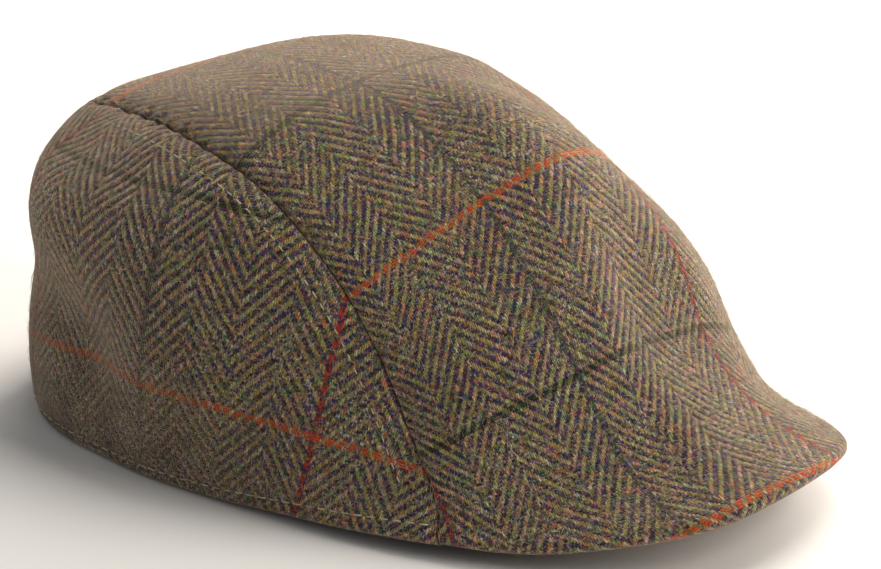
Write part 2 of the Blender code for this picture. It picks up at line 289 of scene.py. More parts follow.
class TweedLook(bpy.types.PropertyGroup):
    """Weave and colours of the tweed."""

    column: metres("Column", "Width of a herringbone column", 0.015)
    check: metres("Check", "From one line of the overcheck to the next", 0.060)
    column_ends: IntProperty(
        name="Column ends", description="Warp yarns in one herringbone column", default=24)
    check_picks: IntProperty(
        name="Check picks", description="Weft yarns from one line of the overcheck to the next",
        default=78)
    line_yarns: IntProperty(
        name="Line yarns", description="Yarns in one line of the overcheck", default=3)
    float_yarns: IntProperty(
        name="Float yarns", description="Yarns that each float passes over", default=3)
    fleck: metres("Fleck", "Length of one colour along a yarn", 0.0016)
    wander: metres("Wander", "How far the yarns bend away from straight lines", 0.0016)
    wander_length: metres("Wander length", "Length of a bend in the yarns", 0.014)
    raggedness: metres("Raggedness", "How far the yarns' edges stray", 0.0006)
    ragged_length: metres("Ragged length", "Length of an uneven place in a yarn's edge", 0.0011)
    fibre_width: metres("Fibre width", "Thickness that the fibres in a yarn are drawn with", 0.00036)
    fibre_run: metres("Fibre run", "Length that a fibre shows along its yarn", 0.00125)
    nap: FloatProperty(
        name="Nap", description="How much loose wool lies over the weave", default=0.8,
        subtype="FACTOR")
    nap_patch: metres("Nap patch", "Width of a patch of thicker nap", 0.03)
    nap_fleck: metres("Nap fleck", "Width of one colour in the nap", 0.001)
    clump: metres("Clump", "Width of a clump of unevenly dyed wool", 0.003)
    # Blotch sets the width of the random darker patches in the painted shade low at the back
    blotch: metres("Blotch", "Width of a soiled place where the cloth is felted", 0.014)
    # This factor also sets how dark the painted shade low at the back is
    felting_and_shade: FloatProperty(
        name="Felting", description="How far handling has felted the cloth low at the back",
        default=0.7, subtype="FACTOR")
    # This factor lays a pale nap over the very back that stands in for the fuzz's grazing haze: painted
    # sheen
    back_haze: FloatProperty(
        name="Rubbing", description="How far the cloth is rubbed at the very back", default=0.48,
        subtype="FACTOR")
    sheen: FloatProperty(
        name="Sheen", description="How much the fuzz catches grazing light", default=0.8,
        subtype="FACTOR")
    sheen_tint: FloatVectorProperty(
        name="Sheen tint", description="Colour of the fuzz", size=4, subtype="COLOR",
        default=linear("F0D8C4"))


class StudioLook(bpy.types.PropertyGroup):
    """Camera, floor and lights."""

    azimuth: FloatProperty(
        name="Azimuth", description="Direction that the camera stands in",
        default=math.radians(-52.0), subtype="ANGLE")
    elevation: FloatProperty(
        name="Elevation", description="Height of the camera above the floor, as an angle",
        default=math.radians(21.2), subtype="ANGLE")
    distance: metres("Distance", "From the camera to the cap's middle", 1.146)
    scale: FloatProperty(
        name="Scale", description="Pixels for each millimetre at the cap's middle", default=3.37)
    surroundings: FloatProperty(
        name="Surroundings", description="Strength of the light from all round", default=0.20)
    floor: FloatVectorProperty(
        name="Floor", description="Colour of the floor", size=4, subtype="COLOR",
        default=linear("F4F3F1"))


def mix(start, end, share):
    """The point that lies a share of the way from start to end."""
    return start + (end - start) * share


def unit(vectors):
    """The same directions, each of length 1."""
    return vectors / np.linalg.norm(vectors, axis=-1, keepdims=True)


def along_sections(name, place, odd=False):
    """A column of SECTIONS at any place along it: a uniform cubic B-spline.

    The cap mirrors itself at both ends of the table, where an odd column changes its sign.
    """
    values = np.array([getattr(section, name) for section in SECTIONS], dtype=float)
    sign = -1.0 if odd else 1.0
    values = np.concatenate([[sign * values[1]], values, [sign * values[-2]]])
    place = np.clip(place, 0.0, len(SECTIONS) - 1 - TINY)
    knot = np.floor(place).astype(int)
    f = place - knot
    weights = (
        (1 - f) ** 3 / 6,
        (3 * f ** 3 - 6 * f ** 2 + 4) / 6,
        (-3 * f ** 3 + 3 * f ** 2 + 3 * f + 1) / 6,
        f ** 3 / 6,
    )
    return sum(weight * values[knot + i] for i, weight in enumerate(weights))


def disk_point(side, section, up):
    """Disk coordinates of a place given as section and up: x to the wearer's left, y ahead."""
    angle = math.pi * np.asarray(section, dtype=float) / (len(SECTIONS) - 1)
    radius = 1.0 - np.asarray(up, dtype=float)
    return np.stack([side * radius * np.sin(angle), radius * np.cos(angle)], axis=-1)


def bare_skin(shape, disk):
    """Points of the unfolded skin for an array of disk coordinates."""
    radius = np.hypot(disk[..., 0], disk[..., 1])
    side = np.where(disk[..., 0] < 0, -1.0, 1.0)
    place = np.arctan2(np.abs(disk[..., 0]), disk[..., 1]) / math.pi * (len(SECTIONS) - 1)
    up = 1.0 - radius
    top_ahead = CROWN_TOP_AHEAD * shape.peak_reach
    across = along_sections("across", place, odd=True) * shape.half_width
    along = along_sections("along", place)
    ahead = along * np.where(along > 0, shape.peak_reach, shape.rear_reach) - top_ahead
    reach = np.hypot(across, ahead)
    lift = along_sections("lift", place) * shape.crown_height
    rise = np.radians(along_sections("rise", place))
    wall = along_sections("wall", place) * shape.crown_height
    dome = along_sections("dome", place) * shape.half_width
    weights = ((1 - up) ** 3, 3 * (1 - up) ** 2 * up, 3 * (1 - up) * up ** 2, up ** 3)
    out = weights[0] * reach + weights[1] * (reach - wall * np.cos(rise)) + weights[2] * dome
    dome_height = shape.crown_height + CROWN_TILT * dome * ahead / reach
    height = (weights[0] * lift + weights[1] * (lift + wall * np.sin(rise))
              + weights[2] * dome_height + weights[3] * shape.crown_height)
    return np.stack([side * out * across / reach, -top_ahead - out * ahead / reach, height], axis=-1)


def slopes(surface, shape, disk):
    """How a surface moves for each step on the disk: to the wearer's left, and to the front."""
    return [(surface(shape, disk + step) - surface(shape, disk - step)) / (2 * SLOPE_STEP)
            for step in np.eye(2) * SLOPE_STEP]


def outward(surface, shape, disk):
    """Unit normals of a surface, pointing out of the cap."""
    left, front = slopes(surface, shape, disk)
    return unit(np.cross(front, left))


def relief(shape, disk):
    """How far the folds push the skin out, for an array of disk coordinates."""
    total = np.zeros(disk.shape[:-1])
    for fold in FOLDS:
        start = disk_point(fold.side, *fold.start)
        line = disk_point(fold.side, *fold.end) - start
        share = np.clip((disk - start) @ line / (line @ line), 0.0, 1.0)
        nearest = start + share[..., None] * line
        distance = np.linalg.norm(disk - nearest, axis=-1) / fold.width
        total += fold.depth * shape.fold_relief * np.exp(-distance ** 2)
    return total


def skin(shape, disk):
    """Points of the cap's outer skin for an array of disk coordinates."""
    out = outward(bare_skin, shape, disk)
    return bare_skin(shape, disk) + out * relief(shape, disk)[..., None]


def cut_disk(place, side):
    """Disk coordinates along the seam, place counted along SEAM, and on along the back edge."""
    points = np.array([disk_point(side, *point) for point in SEAM])
    points = np.concatenate([[2 * points[0] - points[1]], points, [2 * points[-1] - points[-2]]])
    place = np.asarray(place, dtype=float)
    on_seam = np.clip(place, 0.0, SEAM_END - TINY)
    knot = np.floor(on_seam).astype(int)
    f = (on_seam - knot)[..., None]
    p0, p1, p2, p3 = (points[knot + i] for i in range(4))
    seam = 0.5 * (2 * p1 + (p2 - p0) * f + (2 * p0 - 5 * p1 + 4 * p2 - p3) * f ** 2
                  + (3 * p1 - p0 - 3 * p2 + p3) * f ** 3)
    past_corner = np.clip((place - SEAM_END) / (BACK_END - SEAM_END), 0.0, 1.0)
    return mix(seam, disk_point(side, *CENTRE_BACK), past_corner[..., None])


def step_aside(shape, line, distance):
    """Disk coordinates of a line that runs a distance beside another one on the skin."""
    left, front = slopes(skin, shape, line)
    along = unit(np.gradient(skin(shape, line), axis=0))
    move = np.cross(along, unit(np.cross(front, left))) * distance
    moves = np.stack([np.sum(left * move, axis=-1), np.sum(front * move, axis=-1)], axis=-1)
    ll, lf, ff = (np.sum(a * b, axis=-1) for a, b in ((left, left), (left, front), (front, front)))
    det = ll * ff - lf ** 2
    return line + np.stack([(ff * moves[..., 0] - lf * moves[..., 1]) / det,
                            (ll * moves[..., 1] - lf * moves[..., 0]) / det], axis=-1)


def shares(length, cell, start=(0.0,), end=(0.0,)):
    """Shares from 0 to 1, about a cell apart, closer at the given distances from each end."""
    start = np.array(start) / length
    end = 1.0 - np.array(end)[::-1] / length
    count = max(2, round((end[0] - start[-1]) * length / cell))
    return np.concatenate([start[:-1], np.linspace(start[-1], end[0], count + 1), end[1:]])


def patch(near, far, left, right, u, v):
    """A grid filled in between four edges that meet at their ends (a Coons patch).

    near and far run from left to right at the shares u, and left and right run from near to
    far at the shares v.
    """
    u = u[None, :, None]
    v = v[:, None, None]
    across = mix(near[None], far[None], v)
    along = mix(left[:, None], right[:, None], u)
    corners = mix(mix(near[0], near[-1], u), mix(far[0], far[-1], u), v)
    return across + along - corners


def normals(grid):
    """Unit normals of a grid of points: along its rows crossed with along its columns."""
    return unit(np.cross(np.gradient(grid, axis=0), np.gradient(grid, axis=1)))


def from_edge(grid, edge):
    """How far each point of a grid lies from one of its edges, along the grid's lines."""
    axis = 0 if edge in ("near", "far") else 1
    steps = np.linalg.norm(np.diff(grid, axis=axis), axis=-1)
    if edge in ("far", "right"):
        steps = np.flip(steps, axis)
    start = np.zeros_like(np.take(steps, [0], axis=axis))
    distance = np.concatenate([start, np.cumsum(steps, axis=axis)], axis=axis)
    return np.flip(distance, axis) if edge in ("far", "right") else distance


def ripple(points, wavelength, seed):
    """Gentle unevenness between about -1 and 1: a few plane waves in seeded directions."""
    draw = np.random.default_rng(seed)
    total = np.zeros(points.shape[:-1])
    for _ in range(WAVE_COUNT):
        direction = unit(draw.normal(size=3)) / (wavelength * draw.uniform(*WAVE_SPREAD))
        total += np.sin(2 * math.pi * (points @ direction + draw.random()))
    return total / math.sqrt(WAVE_COUNT)


def turned_edge(distance, radius):
    """How far a surface falls beside an edge that is rounded with a radius."""
    inside = np.clip(radius - distance, 0.0, radius)
    return radius - np.sqrt(radius ** 2 - inside ** 2)


def seam_drop(shape, grid, edges):
    """How far the cloth sinks towards the seams along the named edges of a grid."""
    distance = np.min([from_edge(grid, edge) for edge in edges], axis=0)
    pucker = 1.0 + PUCKER_SHARE * ripple(grid, shape.pucker_length, PUCKER_SEED)
    pull = shape.seam_pull * pucker * np.exp(-(distance / shape.seam_pull_width) ** 2)
    return turned_edge(distance, shape.seam_roll) + pull


def draw_back(shape, grid, edges, distance):
    """Take the named edges of a grid back by a distance, and less what lies beside them."""
    moved = grid.copy()
    step = len(EDGE_ROWS)
    inner = {"near": grid[step], "far": grid[-1 - step],
             "left": grid[:, step], "right": grid[:, -1 - step]}
    where = {"near": 0, "far": -1, "left": (slice(None), 0), "right": (slice(None), -1)}
    for edge in edges:
        inwards = unit(inner[edge] - grid[where[edge]])
        inwards = inwards[None] if edge in ("near", "far") else inwards[:, None]
        fading = np.exp(-(from_edge(grid, edge) / shape.seam_roll) ** 2)
        moved += inwards * fading[..., None] * distance
    return moved


def grid_faces(rows, columns):
    """The number of each point of a grid, and its faces."""
    index = np.arange(rows * columns).reshape(rows, columns)
    faces = np.stack([index[:-1, :-1], index[:-1, 1:], index[1:, 1:], index[1:, :-1]], axis=-1)
    return index, faces.reshape(-1, 4)


def add_object(name, data):
    """Put a mesh, a light or a camera into the scene."""
    added = bpy.data.objects.new(name, data)
    bpy.context.scene.collection.objects.link(added)
    return added


def add_mesh(name, points, faces):
    """Put a smooth mesh of points and faces into the scene."""
    mesh = bpy.data.meshes.new(name)
    mesh.from_pydata(points.reshape(-1, 3).tolist(), [], faces)
    mesh.shade_smooth()
    return add_object(name, mesh)


def corner_points(mesh):
    """The number of the point at each corner of a mesh's faces."""
    corners = np.zeros(len(mesh.loops), dtype=np.int32)
    mesh.loops.foreach_get("vertex_index", corners)
    return corners


def flatten(grid):
    """Lay a panel flat with the least stretch: coordinates in metres for every grid point."""
    runs, picked = [], []
    for axis, edge in enumerate(("near", "left")):
        run = from_edge(grid, edge).mean(axis=1 - axis)
        wanted = np.linspace(0.0, run[-1], round(run[-1] / FLAT_CELL) + 1)
        runs.append(run)
        picked.append(np.unique([int(np.argmin(np.abs(run - w))) for w in wanted]))
    coarse = grid[np.ix_(*picked)]
    piece = add_mesh("flattening", coarse, grid_faces(*coarse.shape[:2])[1].tolist())
    mesh = piece.data
    mesh.uv_layers.new(name="flat")
    bpy.context.view_layer.objects.active = piece
    piece.select_set(True)
    bpy.ops.object.mode_set(mode="EDIT")
    bpy.ops.mesh.select_all(action="SELECT")
    bpy.ops.uv.unwrap(method="MINIMUM_STRETCH", margin=0.0, correct_aspect=False)
    bpy.ops.object.mode_set(mode="OBJECT")
    uv = np.zeros(2 * len(mesh.loops), dtype=np.float32)
    mesh.uv_layers["flat"].data.foreach_get("uv", uv)
    flat = np.zeros((coarse.shape[0] * coarse.shape[1], 2))
    flat[corner_points(mesh)] = uv.reshape(-1, 2)
    flat = flat.reshape(*coarse.shape[:2], 2)
    bpy.data.objects.remove(piece, do_unlink=True)
    bpy.data.meshes.remove(mesh)
    real = np.linalg.norm(np.diff(coarse, axis=0), axis=-1).sum()
    drawn = np.linalg.norm(np.diff(flat, axis=0), axis=-1).sum()
    flat *= real / drawn
    for axis in (1, 0):
        run, places = runs[axis], picked[axis]
        flat = np.apply_along_axis(lambda line: np.interp(run, run[places], line), axis, flat)
    return flat


def cloth_piece(name, outer, inner, cloth, material):
    """A closed piece of cloth between an outer and an inner grid, with its cloth map."""
    rows, columns = outer.shape[:2]
    index, quads = grid_faces(rows, columns)
    border = np.concatenate([index[0, :-1], index[:-1, -1], index[-1, :0:-1], index[:0:-1, 0]])
    after = np.roll(border, -1)
    below = rows * columns
    walls = np.stack([after, border, border + below, after + below], axis=-1)
    faces = np.concatenate([quads, quads[:, ::-1] + below, walls])
    row, column = rows // 2, columns // 2
    middle = outer[row, column]
    facing = np.cross(outer[row, column + 1] - middle, outer[row + 1, column] - middle)
    if facing @ (middle - inner[row, column]) < 0:
        faces = faces[:, ::-1]
    piece = add_mesh(name, np.stack([outer, inner]), faces.tolist())
    both = np.concatenate([cloth.reshape(-1, 2)] * 2)
    corners = corner_points(piece.data)
    piece.data.uv_layers.new(name="cloth").data.foreach_set("uv", both[corners].ravel())
    piece.data.materials.append(material)
    return piece


def cloth_map(grid, lays, origin, rows):
    """Places in the weave, across the warp and along it, for every point of a panel's grid.

    origin is a place in the grid. On the flat panel, along runs from it to the place that lies
    the given number of rows on.
    """
    flat = flatten(grid)
    flat = flat - flat[origin]
    warp = unit(flat[origin[0] + rows, origin[1]])
    across, along = flat @ np.array([warp[1], -warp[0]]), flat @ warp
    return np.stack([
        lay.start + lay.across * across + lay.along * along + lay.bow * along ** 2
        + lay.wave * along ** 3 for lay in lays], axis=-1)


def side_panel_grid(shape, side):
    """The side panel: lines stand between the rim and the cut above it.

    The first line is the seam's lowest stretch, beside the seam's foot.
    """
    u = shares(SIDE_LENGTH, shape.cell, EDGE_ROWS, EDGE_ROWS)
    v = shares(SIDE_HEIGHT, shape.cell, EDGE_ROWS, EDGE_ROWS)
    upper = mix(FRONT_COLUMN_END, BACK_END, u)
    rim = disk_point(side, mix(SEAM[0].section, CENTRE_BACK.section, u), 0.0)
    disk = mix(rim[None], cut_disk(upper, side)[None], v[:, None, None])
    disk[:, 0] = cut_disk(FRONT_COLUMN_END * v, side)
    return skin(shape, disk)


def both_halves(curve, half):
    """A curve from the wearer's right to the middle, and its mirror image on to the left."""
    return np.concatenate([curve(half, -1), curve(half, 1)[-2::-1]])


def top_panel_grid(shape):
    """The top panel up to where its cloth starts to turn round the peak's edge."""
    radius = peak_edge_radius(shape)
    half = shares(TOP_HALF_WIDTH, shape.cell, EDGE_ROWS)
    u = np.concatenate([half, 2.0 - half[-2::-1]]) / 2
    v = shares(TOP_LENGTH, shape.cell, EDGE_ROWS)

    def inset(section):
        edge = disk_point(-1, section, 0.0)
        inner = disk_point(-1, section, SLOPE_STEP)
        run = np.linalg.norm(bare_skin(shape, inner) - bare_skin(shape, edge), axis=-1)
        return radius * SLOPE_STEP / run

    foot = np.linspace(0.0, 1.0, FOOT_POINTS)
    up = 1.0 - np.linalg.norm(cut_disk(foot, -1), axis=-1)
    start = np.interp(inset(np.array(SEAM[0].section)), up, foot)
    down_seam = mix(SEAM_END, start, v)
    first = cut_disk(np.array(start), -1)
    first_section = math.atan2(abs(first[0]), first[1]) / math.pi * (len(SECTIONS) - 1)

    def front_curve(share, side):
        section = mix(first_section, 0.0, share)
        return disk_point(side, section, inset(section))

    back = both_halves(lambda share, side: cut_disk(mix(SEAM_END, BACK_END, share), side), half)
    front = both_halves(front_curve, half)
    disk = patch(back, front, cut_disk(down_seam, -1), cut_disk(down_seam, 1), u, v)
    return skin(shape, disk)


def peak_edge_radius(shape):
    """Radius of the round edge of the peak: half its whole thickness."""
    return (shape.cloth + shape.layer_gap + shape.peak_board) / 2


def frame_shift(shape):
    """How far the skin lies from its place in the frame: same middle, standing on the floor."""
    rim = skin(shape, both_halves(lambda share, side: disk_point(side, FRONT_RIM_END * share, 0.0),
                                  np.linspace(0.0, 1.0, FRONT_RIM_POINTS)))
    grids = (side_panel_grid(shape, -1), side_panel_grid(shape, 1), rim, top_panel_grid(shape))
    points = np.concatenate([grid.reshape(-1, 3) for grid in grids])
    low, high = points.min(axis=0), points.max(axis=0)
    frame_low, frame_high = (np.array(corner) for corner in cad_box)
    middle = (low + high - frame_low - frame_high) / 2
    return np.array([middle[0], middle[1], low[2] - frame_low[2]])


def add_node(tree, kind, *values, inputs=None, **settings):
    """Add a node with its settings. Each value sets or links an input, in order or by name."""
    node = tree.nodes.new("ShaderNode" + kind)
    for name, setting in settings.items():
        setattr(node, name, setting)
    for key, value in list(enumerate(values)) + list((inputs or {}).items()):
        if isinstance(value, bpy.types.Node):
            value = value.outputs[0]
        if isinstance(value, bpy.types.NodeSocket):
            tree.links.new(value, node.inputs[key])
        elif value is not None:
            node.inputs[key].default_value = value
    return node


def set_stops(node, stops):
    """Give a colour ramp its stops: places from 0 to 1 and sRGB hex colours."""
    ramp = node.color_ramp
    while len(ramp.elements) < len(stops):
        ramp.elements.new(1.0)
    for element, (place, colour) in zip(ramp.elements, stops):
        element.position = place
        element.color = linear(colour)
    return node


def new_material(name):
    """A new material with no nodes, and the function that adds a node to it."""
    material = bpy.data.materials.new(name)
    material.use_nodes = True
    material.node_tree.nodes.clear()
    return material, partial(add_node, material.node_tree)


# Share of the yarn up to each colour, and the colour. The warp is the lighter yarn
WARP_YARN = ((0.0, "6C5E34"), (0.14, "90864A"), (0.3, "A69A5A"), (0.46, "587054"), (0.58, "AE9070"),
             (0.7, "AC6038"), (0.82, "C6B694"), (0.92, "463652"), (1.0, "426860"))
WEFT_YARN = ((0.0, "121224"), (0.2, "2A265A"), (0.38, "4E282E"), (0.52, "184048"), (0.66, "5E3262"),
             (0.82, "827444"), (0.9, "221E36"), (1.0, "3E2E20"))
NAP = ((0.0, "100E1A"), (0.16, "262252"), (0.3, "7C7444"), (0.44, "ACA05E"), (0.56, "325646"),
       (0.7, "9A5036"), (0.84, "BAAC98"), (1.0, "DED2C2"))
THREAD = ((0.0, "9A9670"), (0.5, "BEBA94"), (1.0, "D2CCB2"))
STRAY_WOOL = ((0.0, "8A7A50"), (0.25, "D8CCB4"), (0.45, "A89C78"), (0.6, "C8B89C"), (0.75, "8A5A40"),
              (1.0, "E4DCCC"))

# Lines of the overcheck, two by turns each way. spread: how much a line's fibres colour the
# yarns that cross it    bare: how far the nap leaves it free
CheckLine = namedtuple("CheckLine", "colour spread bare")
LENGTHWISE_LINES = (CheckLine("44503A", 0.0, 0.4), CheckLine("A82E24", 0.1, 0.85))
CROSSWISE_LINES = (CheckLine("BC4E1E", 0.2, 0.85), CheckLine("061E16", 0.5, 0.6))

# Loose wool lies in streaks one way and another: turn in radians and width in metres, drawn
# coarser than single hairs so that they show
NAP_STREAKS = ((0.5, 0.0005), (-0.7, 0.0006), (1.7, 0.00043))
STREAK_SLIMNESS = 0.3

# Where the cloth is felted and darkened with painted shade low at the back, and where a pale
# nap stands in for the fuzz's grazing sheen at the very back (painted sheen): from none to
# full, as heights above the floor and as places along Y, in metres
FELTED_AND_SHADED_HEIGHTS = (0.065, 0.01)
FELTED_AND_SHADED_PLACES = (-0.02, 0.05)
BACK_HAZE_HEIGHTS = (0.095, 0.075)
BACK_HAZE_PLACES = (0.05, 0.10)

# A noise's values lie mostly in the first span. The others pick out the nap's streaks, its
# thick patches, its colours and the random blotches in the painted shade low at the back
NOISE_SPAN = (0.3, 0.7)
STREAK_SPAN = (0.53, 0.66)
PATCH_SPAN = (0.4, 0.68)
DYE_SPAN = (0.37, 0.63)
BLOTCH_SPAN = (0.4, 0.62)

# Factors on the colour: from the darkest fibre to the lightest, the painted shade from a hollow
# to the back of a float (heights up to that share count), how the painted shade low at the back
# changes in its random blotches and how much it adds to the colour (a negative amount, so it
# darkens), and the clumps' spread and least value of red, green and blue
FIBRE_TONES = (0.45, 1.55)
HOLLOW_SHADE_TONES = (0.48, 1.1)
FLOAT_BACK = 0.8
BLOTCH_TONES = (0.6, 1.3)
BLOTCHY_SHADE = -0.85
CLUMP_SPREAD = (1.3, 1.1, 1.5)
CLUMP_BASE = (0.35, 0.45, 0.25)

# The thinnest nap as a share of the thickest, how high the fibres and the nap's streaks stand
# beside a float's height of 1, and that height in metres
THIN_NAP = 0.25
FIBRE_RELIEF = 0.35
STREAK_RELIEF = 0.4
FLOAT_HEIGHT = 0.00035

# Length of one colour along the sewing thread and along a stray fibre, and of their fine
# unevenness, which is drawn as long as the ply of the thread
THREAD_FLECK = 0.0033
STRAY_FLECK = 0.0083
PLY = 0.00025


def bent_yarns(add, cloth, look):
    """Places in the weave, moved a little so that the yarns bend and their edges are uneven."""
    moved = cloth
    for length, reach in ((look.wander_length, look.wander), (look.ragged_length, look.raggedness)):
        stray = add("TexNoise", cloth, inputs={"Scale": 1 / length, "Detail": 1.0})
        stray = add("VectorMath", stray.outputs["Color"], (0.5, 0.5, 0.5), operation="SUBTRACT")
        stray = add("VectorMath", stray, operation="SCALE", inputs={"Scale": reach})
        moved = add("VectorMath", moved, stray, operation="ADD")
    return moved


def count_yarns(add, run, pitch):
    """The number of the yarn at a place, and the share of the way across it."""
    yarn = add("Math", run, pitch, operation="DIVIDE")
    return add("Math", yarn, operation="FLOOR"), add("Math", yarn, operation="FRACT")


def twill(add, look, ends, picks):
    """Where the warp is up, and the height of the yarn that is up.

    The twill climbs with the ends in one column and falls in the next. Each float is a rounded
    yarn that dips under its neighbour at both ends.
    """
    (end_number, end_share), (pick_number, pick_share) = ends, picks
    column_ends = float(look.column_ends)
    column = add("Math", end_number, column_ends, operation="DIVIDE")
    column = add("Math", column, operation="FLOOR")
    turned = add("Math", column, 1.0, operation="ADD")
    turned = add("Math", turned, 2.0, operation="FLOORED_MODULO")
    in_column = add("Math", end_number, column_ends, operation="FLOORED_MODULO")
    slope = add("Math", turned, -2.0, 1.0, operation="MULTIPLY_ADD")
    climb = add("Math", in_column, slope, turned, operation="MULTIPLY_ADD")
    phase = add("Math", climb, pick_number, operation="ADD")
    phase = add("Math", phase, 2.0 * look.float_yarns, operation="FLOORED_MODULO")
    warp_up = add("Math", phase, look.float_yarns - 0.5, operation="LESS_THAN")

    step = 1.0 / look.float_yarns
    warp_along = add("Math", phase, pick_share, operation="ADD")
    warp_along = add("Math", warp_along, step, operation="MULTIPLY")
    climbing = add("Math", phase, end_share, operation="ADD")
    climbing = add("Math", climbing, step, -1.0, operation="MULTIPLY_ADD")
    falling = add("Math", end_share, phase, operation="SUBTRACT")
    falling = add("Math", falling, step, 2.0 - step, operation="MULTIPLY_ADD")
    weft_along = add("Mix", turned, data_type="FLOAT", inputs={2: climbing, 3: falling})
    float_along = add("Mix", warp_up, data_type="FLOAT", inputs={2: weft_along, 3: warp_along})
    float_across = add("Mix", warp_up, data_type="FLOAT", inputs={2: pick_share, 3: end_share})
    arch = add("Math", float_along, math.pi, operation="MULTIPLY")
    arch = add("Math", arch, operation="SINE")
    arch = add("Math", arch, 0.5, operation="POWER")
    round_off = add("Math", float_across, math.pi, operation="MULTIPLY")
    round_off = add("Math", round_off, operation="SINE")
    return warp_up, add("Math", arch, round_off, operation="MULTIPLY")


def dyed_yarn(add, look, number, along, seed, stops):
    """Colour of a yarn, which changes every few millimetres. stops: the dyes of its wool."""
    stagger = add("TexWhiteNoise", noise_dimensions="1D", inputs={"W": number})
    segment = add("Math", along, look.fleck, operation="DIVIDE")
    segment = add("Math", segment, stagger.outputs["Value"], operation="ADD")
    segment = add("Math", segment, operation="FLOOR")
    fleck = add("CombineXYZ", number, segment, seed)
    dye = add("TexWhiteNoise", fleck, noise_dimensions="3D")
    return set_stops(add("ValToRGB", dye.outputs["Value"]), stops)


def overcheck(add, look, number, count, lines, yarn):
    """Lay the overcheck's lines one way over a yarn's colour.

    Returns that colour, the line's own colour, how much it spreads and how bare it is of nap.
    """
    first, second = lines
    shifted = add("Math", number, float(look.line_yarns // 2), operation="ADD")
    in_check = add("Math", shifted, float(count), operation="FLOORED_MODULO")
    on_line = add("Math", in_check, look.line_yarns - 0.5, operation="LESS_THAN")
    in_pair = add("Math", shifted, 2.0 * count, operation="FLOORED_MODULO")
    other = add("Math", in_pair, count - 0.5, operation="GREATER_THAN")
    line = add("Mix", other, data_type="RGBA", inputs={
        6: linear(first.colour), 7: linear(second.colour)})
    colour = add("Mix", on_line, data_type="RGBA", inputs={
        6: yarn.outputs["Color"], 7: line.outputs[2]})
    bare = add("MapRange", other, 0.0, 1.0, first.bare, second.bare)
    spread = add("MapRange", other, 0.0, 1.0, first.spread, second.spread)
    return (colour, line, add("Math", on_line, spread, operation="MULTIPLY"),
            add("Math", on_line, bare, operation="MULTIPLY"))


def yarn_fibres(add, look, moved, warp_up):
    """Fibres along each yarn, from 0 to 1.

    Wool is about 0.03 mm thick, so the fibres are drawn in bunches, coarse enough to show.
    """
    thin, long = 1 / look.fibre_width, 1 / look.fibre_run
    along_warp = add("VectorMath", moved, (thin, long, 1.0), operation="MULTIPLY")
    along_weft = add("VectorMath", moved, (long, thin, 1.0), operation="MULTIPLY")
    fibres = add("Mix", warp_up, data_type="VECTOR", inputs={4: along_weft, 5: along_warp})
    return add("TexNoise", fibres.outputs[1], inputs={"Scale": 1.0, "Detail": 2.0})


def raised_nap(add, look, cloth):
    """Loose fibres of every colour over the weave, thicker in some places.

    Returns their streaks, how much they cover and their colour.
    """
    streaks = 0.0
    for turn, width in NAP_STREAKS:
        along = add("Mapping", cloth, inputs={
            "Rotation": (0.0, 0.0, turn), "Scale": (1 / width, STREAK_SLIMNESS / width, 1.0)})
        streak = add("TexNoise", along, inputs={"Scale": 1.0, "Detail": 1.0, "Distortion": 0.6})
        streak = add("MapRange", streak.outputs[0], *STREAK_SPAN, 0.0, 1.0)
        streaks = add("Math", streak, streaks, operation="MAXIMUM")
    patches = add("TexNoise", cloth, inputs={"Scale": 1 / look.nap_patch, "Detail": 2.0})
    patches = add("MapRange", patches.outputs[0], *PATCH_SPAN, THIN_NAP * look.nap, look.nap)
    cover = add("Math", streaks, patches, operation="MULTIPLY")
    dye = add("TexNoise", cloth, inputs={"Scale": 1 / look.nap_fleck, "Detail": 1.0})
    dye = add("MapRange", dye.outputs[0], *DYE_SPAN, 0.0, 1.0)
    return streaks, cover, set_stops(add("ValToRGB", dye), NAP)


def wear(add, look, on_cap):
    """Felting with painted shade low at the back, and a pale nap of painted sheen at the very back."""
    place = add("SeparateXYZ", on_cap)
    # Low at the back the cloth is felted and darkened: painted shade
    low = add("MapRange", place.outputs["Z"], *FELTED_AND_SHADED_HEIGHTS, 0.0, look.felting_and_shade)
    behind = add("MapRange", place.outputs["Y"], *FELTED_AND_SHADED_PLACES, 0.0, 1.0)
    felted_and_shaded = add("Math", low, behind, operation="MULTIPLY")
    # A pale nap at the very back stands in for the fuzz's grazing haze: painted sheen
    below_top = add("MapRange", place.outputs["Z"], *BACK_HAZE_HEIGHTS, 0.0, look.back_haze)
    far_back = add("MapRange", place.outputs["Y"], *BACK_HAZE_PLACES, 0.0, 1.0)
    return felted_and_shaded, add("Math", below_top, far_back, operation="MULTIPLY")


